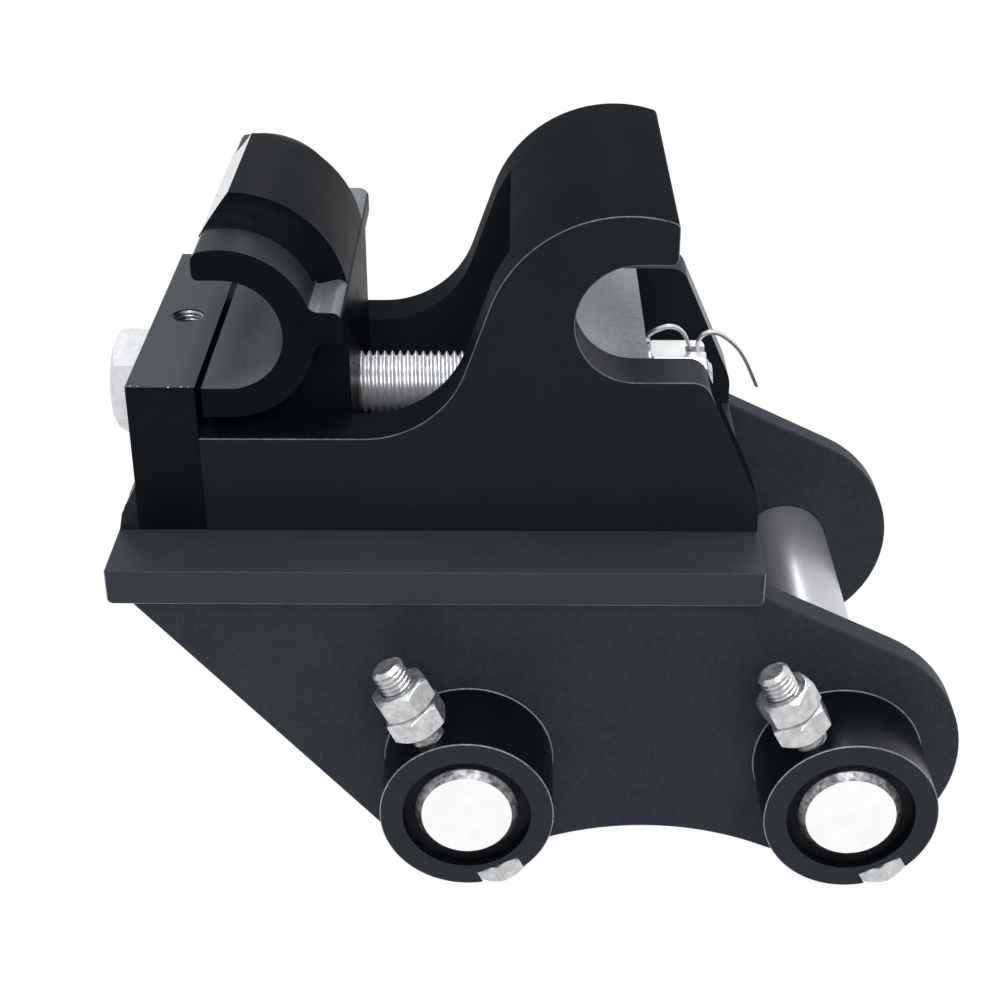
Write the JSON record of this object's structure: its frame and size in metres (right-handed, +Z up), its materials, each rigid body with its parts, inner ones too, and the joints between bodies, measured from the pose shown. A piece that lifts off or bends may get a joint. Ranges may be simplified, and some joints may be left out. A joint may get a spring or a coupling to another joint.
{
  "type": "quick coupler",
  "caption": "Mechanical quick coupler for a compact excavator: fixed hook and screw-driven moving jaw on a welded plate frame hung on the arm's pins.",
  "frame": {"origin": "middle of the arm pin on the moving jaw's side, halfway between the ears", "axes": "+X from the moving jaw to the fixed hook, +Y along the arm pins to the far side, +Z up from the arm pins to the hooks"},
  "size_m": [0.2144, 0.164, 0.169],
  "materials": {
    "grey_paint": "satin blue-grey enamel",
    "dark_paint": "satin dark grey enamel",
    "jaw_paint": "satin grey enamel over a cast surface",
    "collar_paint": "satin dark grey enamel",
    "weld_paint": "satin enamel over weld beads",
    "zinc_screw": "bright zinc plate",
    "zinc_small": "bright zinc plate",
    "split_pin_steel": "bright drawn wire",
    "ground_steel": "ground and hardened steel",
    "bush_steel": "blackened hardened steel",
    "nylon": "natural nylon"
  },
  "bodies": {
    "frame": {"base_plate": "grey_paint", "near_ear": "grey_paint", "far_ear": "grey_paint", "near_cheek": "dark_paint", "far_cheek": "dark_paint", "hook_block": "grey_paint", "end_block": "grey_paint", "ear_welds": "weld_paint", "end_block_welds": "weld_paint", "thrust_washer": "zinc_small", "grub_screw": "zinc_small", "drag_pad": "nylon", "jaw_side_arm_pin": "ground_steel", "hook_side_arm_pin": "ground_steel", "near_jaw_side_collar": "collar_paint", "near_hook_side_collar": "collar_paint", "far_jaw_side_collar": "collar_paint", "far_hook_side_collar": "collar_paint", "near_jaw_side_bush": "bush_steel", "near_hook_side_bush": "bush_steel", "far_jaw_side_bush": "bush_steel", "far_hook_side_bush": "bush_steel", "jaw_side_cross_bolt": "zinc_small", "hook_side_cross_bolt": "zinc_small", "jaw_side_lock_nuts": "zinc_small", "hook_side_lock_nuts": "zinc_small"},
    "screw": {"lead_screw": "zinc_screw", "castle_nut": "zinc_small", "split_pin": "split_pin_steel"},
    "jaw": {"moving_jaw": "jaw_paint"}
  },
  "joints": [
    {"name": "jaw_slide", "type": "slide", "parent": "frame", "child": "jaw", "axis": [1, 0, 0], "range_m": [-0.0012, 0.028]},
    {"name": "screw_spin", "type": "hinge", "parent": "frame", "child": "screw", "pos_m": [-0.09175, 0, 0.077], "axis": [1, 0, 0], "range_deg": [-5041, 217]}
  ],
  "couplings": [
    {"joint": "screw_spin", "follows": "jaw_slide", "rad_per_m": -3141.6}
  ]
}
